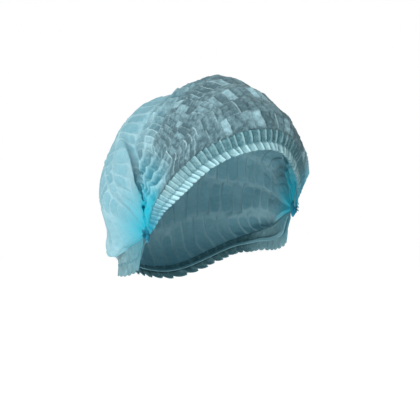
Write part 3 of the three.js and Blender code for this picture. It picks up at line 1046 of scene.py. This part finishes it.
def block_tones(tree, strips, slack):
    """How pale each block of the strips is: by its layers on the dome, and with open bars on the bag."""
    dome = ramp(tree, strips["Layers"], *BLOCK_TONE)
    # A few blocks lie many layers deep and show pale.
    deep = ramp(tree, strips["Layers"], *DEEP_TONE)
    dome = plus(tree, dome, math_node(tree, "MAXIMUM", deep, 0.0))
    # Each tuck is paler towards its folded edge, and the strips melt into each other at their rims.
    dome = plus(tree, dome, ramp(tree, strips["Inner"], *SLOPE_TONE))
    dome = plus(tree, times(tree, dome, strips["Rim"]), DOME_TONE)
    bag = minus(tree, BAG_TONE, times(tree, strips["Bar"], BAR_TONE))
    bag = plus(tree, bag, times(tree, dome, BAG_BLOCKS))
    return minus(tree, mix_value(tree, slack, dome, bag), times(tree, strips["Shade"], SHADE_TONE))


def nonwoven_material(name, cloth_group, thin, double, packed, strips_group=None, mottle=0.6):
    """thin, double and packed are the cloth's colours where it lies single, folded double and many deep."""
    material = bpy.data.materials.new(name)
    material.use_nodes = True
    tree = material.node_tree
    nodes = tree.nodes
    group = nodes.new("ShaderNodeGroup")
    group.node_tree = cloth_group
    cloth = group.outputs
    doubled_and_painted_light, gathered, slack = (attribute_value(tree, key) for key in ("doubled_and_painted_light", "gathered", "slack"))
    crinkle = times(tree, cloth["Crinkle"], minus(tree, 1.0, times(tree, slack, SLACK_CREASES)))
    mottled = minus(tree, MOTTLE_FROM, times(tree, slack, SLACK_MOTTLE))
    fibre = times(tree, minus(tree, cloth["Cloud"], 0.5), mottled)
    # The point value read here is paler where the cloth lies doubled, and also carries painted light and
    # painted shade from the crown and the hems.
    light = plus(tree, doubled_and_painted_light, times(tree, fibre, mottle))
    light = plus(tree, light, times(tree, crinkle, CREASE_TONE))
    if strips_group:
        group = nodes.new("ShaderNodeGroup")
        group.node_tree = strips_group
        feed(group, {"Edge width": EDGE_WIDTH})
        strips = group.outputs
        tucked = attribute_value(tree, "tucked")
        light = plus(tree, light, times(tree, block_tones(tree, strips, slack), tucked))
        thin = mix_colour(tree, slack, thin, BAG_THIN)
        double = mix_colour(tree, slack, double, BAG_CLOTH)
    colour = mix_colour(tree, plus(tree, light, 0.0, True), thin, double)
    if strips_group:
        firm = minus(tree, EDGE_FIRMNESS, times(tree, slack, SLACK_EDGES))
        edge = times(tree, strips["Edge"], times(tree, firm, tucked))
        colour = mix_colour(tree, edge, colour, FOLD_EDGE)
    colour = mix_colour(tree, gathered, colour, packed)
    feed(nodes["Principled BSDF"], {"Base Color": colour, "Roughness": 0.55, "Sheen Weight": 0.1,
                                    "Sheen Roughness": 0.4, "Specular IOR Level": 0.3})
    height = plus(tree, times(tree, cloth["Streaks"], STREAK_HEIGHT), cloth["Cloud"])
    height = minus(tree, height, times(tree, cloth["Bonds"], BOND_HEIGHT))
    height = plus(tree, height, times(tree, crinkle, CREASE_HEIGHT))
    add_bump(tree, height, 0.0005)
    return material


def add_bump(tree, height, distance):
    bump = tree.nodes.new("ShaderNodeBump")
    feed(bump, {"Strength": 0.5, "Distance": distance, "Height": height})
    feed(tree.nodes["Principled BSDF"], {"Normal": bump.outputs[0]})


def corded_material(name, dark, pale, roughness, uv_map=None):
    """Ribs along an elastic band, from its UV map, or the fine twist of a thread."""
    material = plain_material(name, dark, roughness)
    tree = material.node_tree
    nodes = tree.nodes
    cords = value_node(nodes, "ShaderNodeTexWave", wave_type="BANDS")
    if uv_map:
        place = value_node(nodes, "ShaderNodeUVMap", uv_map=uv_map).outputs[0]
        cords.bands_direction = "Y"
        feed(cords, {"Scale": 500, "Distortion": 0.6})
    else:
        place = nodes.new("ShaderNodeTexCoord").outputs["Object"]
        cords.bands_direction = "DIAGONAL"
        feed(cords, {"Scale": 900, "Distortion": 2})
    feed(cords, {"Vector": place})
    colour = mix_colour(tree, cords.outputs["Fac"], dark, pale)
    feed(nodes["Principled BSDF"], {"Base Color": colour})
    add_bump(tree, cords.outputs["Fac"], 0.0002)
    return material


def plain_material(name, colour, roughness):
    material = bpy.data.materials.new(name)
    material.use_nodes = True
    shader = material.node_tree.nodes["Principled BSDF"]
    feed(shader, {"Base Color": colour, "Roughness": roughness})
    return material


# Camera, in the photograph's direction and framing.
VIEW_AZIMUTH, VIEW_ELEVATION, VIEW_DISTANCE = math.radians(-28), math.radians(3), 1.65
PIXELS_PER_METRE = 950
FRAME_PIXELS = 420
SHOWN_POINT = Vector((0, 0, -0.1))
SHOWN_PIXEL = (213, 174)


def make_camera():
    back = Vector((math.sin(VIEW_AZIMUTH) * math.cos(VIEW_ELEVATION),
                   -math.cos(VIEW_AZIMUTH) * math.cos(VIEW_ELEVATION), math.sin(VIEW_ELEVATION)))
    right = Vector((math.cos(VIEW_AZIMUTH), math.sin(VIEW_AZIMUTH), 0))
    up = back.cross(right)
    half = FRAME_PIXELS / 2
    aim = (SHOWN_POINT + right * (half - SHOWN_PIXEL[0]) / PIXELS_PER_METRE
           - up * (half - SHOWN_PIXEL[1]) / PIXELS_PER_METRE)
    data = bpy.data.cameras.new("camera")
    data.sensor_width = 36
    data.lens = data.sensor_width * VIEW_DISTANCE / (FRAME_PIXELS / PIXELS_PER_METRE)
    camera = add_object("camera", data)
    camera.location = aim + back * VIEW_DISTANCE
    camera.rotation_euler = (-back).to_track_quat("-Z", "Y").to_euler()
    bpy.context.scene.camera = camera


def make_light(name, place, size, power):
    data = bpy.data.lights.new(name, "AREA")
    data.size = size
    data.energy = power
    light = add_object(name, data)
    light.location = place
    light.rotation_euler = (SHOWN_POINT - Vector(place)).to_track_quat("-Z", "Y").to_euler()


def make_studio():
    make_light("key", (-1.4, -0.8, 0.9), 0.5, 28)
    make_light("fill", (1.2, -1.5, 0.1), 1.4, 2)
    make_light("top", (-0.3, 0.5, 1.5), 1.0, 8)
    world = bpy.data.worlds.new("studio")
    world.use_nodes = True
    nodes = world.node_tree.nodes
    # The backdrop shows white, and lights the cap only softly.
    seen = nodes.new("ShaderNodeLightPath")
    strength = nodes.new("ShaderNodeMapRange")
    feed(strength, {"To Min": 0.25, "To Max": 1, "Value": seen.outputs["Is Camera Ray"]})
    feed(nodes["Background"], {"Color": (1, 1, 1), "Strength": strength.outputs[0]})
    bpy.context.scene.world = world
    bpy.context.scene.view_settings.view_transform = "Standard"
    side, deep, floor = 6, 3, -0.45
    corners = [(-side, -deep, floor), (side, -deep, floor), (side, deep, floor), (-side, deep, floor)]
    mesh = bpy.data.meshes.new("floor")
    mesh.from_pydata(corners, [], [(0, 1, 2, 3)])
    pale = plain_material("pale_floor", (0.9, 0.9, 0.9), 0.9)
    shader = pale.node_tree.nodes["Principled BSDF"]
    feed(shader, {"Emission Color": (1, 1, 1), "Emission Strength": 0.75})
    mesh.materials.append(pale)
    add_object("floor", mesh)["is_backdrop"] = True


make_camera()
make_studio()

spunbond = nonwoven_group()
tucked = blocks_group()
crown_finish = nonwoven_material(
    "crown_cloth", spunbond, (0.06, 0.13, 0.155), (0.37, 0.62, 0.69), (0.0, 0.4, 0.53), tucked, 1.0)
# The nape hem's cloth is a darker copy of the hem cloth: painted shade beneath the lobe.
nape_shaded_finish = nonwoven_material(
    "nape_hem_cloth", spunbond, (0.05, 0.14, 0.165), (0.32, 0.58, 0.64), (0.04, 0.24, 0.31))
hem_finish = nonwoven_material(
    "hem_cloth", spunbond, (0.045, 0.15, 0.18), (0.44, 0.73, 0.79), (0.0, 0.28, 0.4))
weld_finish = nonwoven_material(
    "welded_cloth", spunbond, (0.01, 0.16, 0.25), (0.12, 0.44, 0.56), (0.0, 0.2, 0.31))
elastic_finish = corded_material("elastic", (0.08, 0.22, 0.27), (0.2, 0.42, 0.48), 0.7, "cloth")
thread_finish = corded_material("sewing_thread", (0.05, 0.2, 0.26), (0.14, 0.38, 0.45), 0.6)

crown = make_crown()
front_hem = make_hem("front_hem_cloth", 0, FRONT_PLEATS)
nape_hem = make_hem("nape_hem_cloth", 1, NAPE_PLEATS)
sewing = stitch_tree()
front_stitches = make_stitches("front_hem_stitches", sewing, 0, FRONT_PLEATS, thread_finish)
nape_stitches = make_stitches("nape_hem_stitches", sewing, 1, NAPE_PLEATS, thread_finish)
front_elastic = make_elastic("front_elastic_band", 0)
nape_elastic = make_elastic("nape_elastic_band", 1)
right_clip = make_clip("right_clip_layers", -1)
left_clip = make_clip("left_clip_layers", 1)

for piece, node, slot, finish in (
    (crown, "crown", "crown_cloth", crown_finish),
    (front_hem, "front_hem", "hem_cloth", hem_finish),
    (nape_hem, "nape_hem", "hem_cloth", nape_shaded_finish),
    (front_elastic, "front_elastic", "elastic_rubber", elastic_finish),
    (nape_elastic, "nape_elastic", "elastic_rubber", elastic_finish),
    (right_clip, "right_clip", "welded_cloth", weld_finish),
    (left_clip, "left_clip", "welded_cloth", weld_finish),
):
    piece.data.materials.append(finish)
    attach(piece, "root")
    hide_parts(node)

for stitches in (front_stitches, nape_stitches):
    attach(stitches, "root")

boxes = {"cad": [list(corner) for corner in cad_box], "visual": [list(corner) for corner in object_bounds()]}
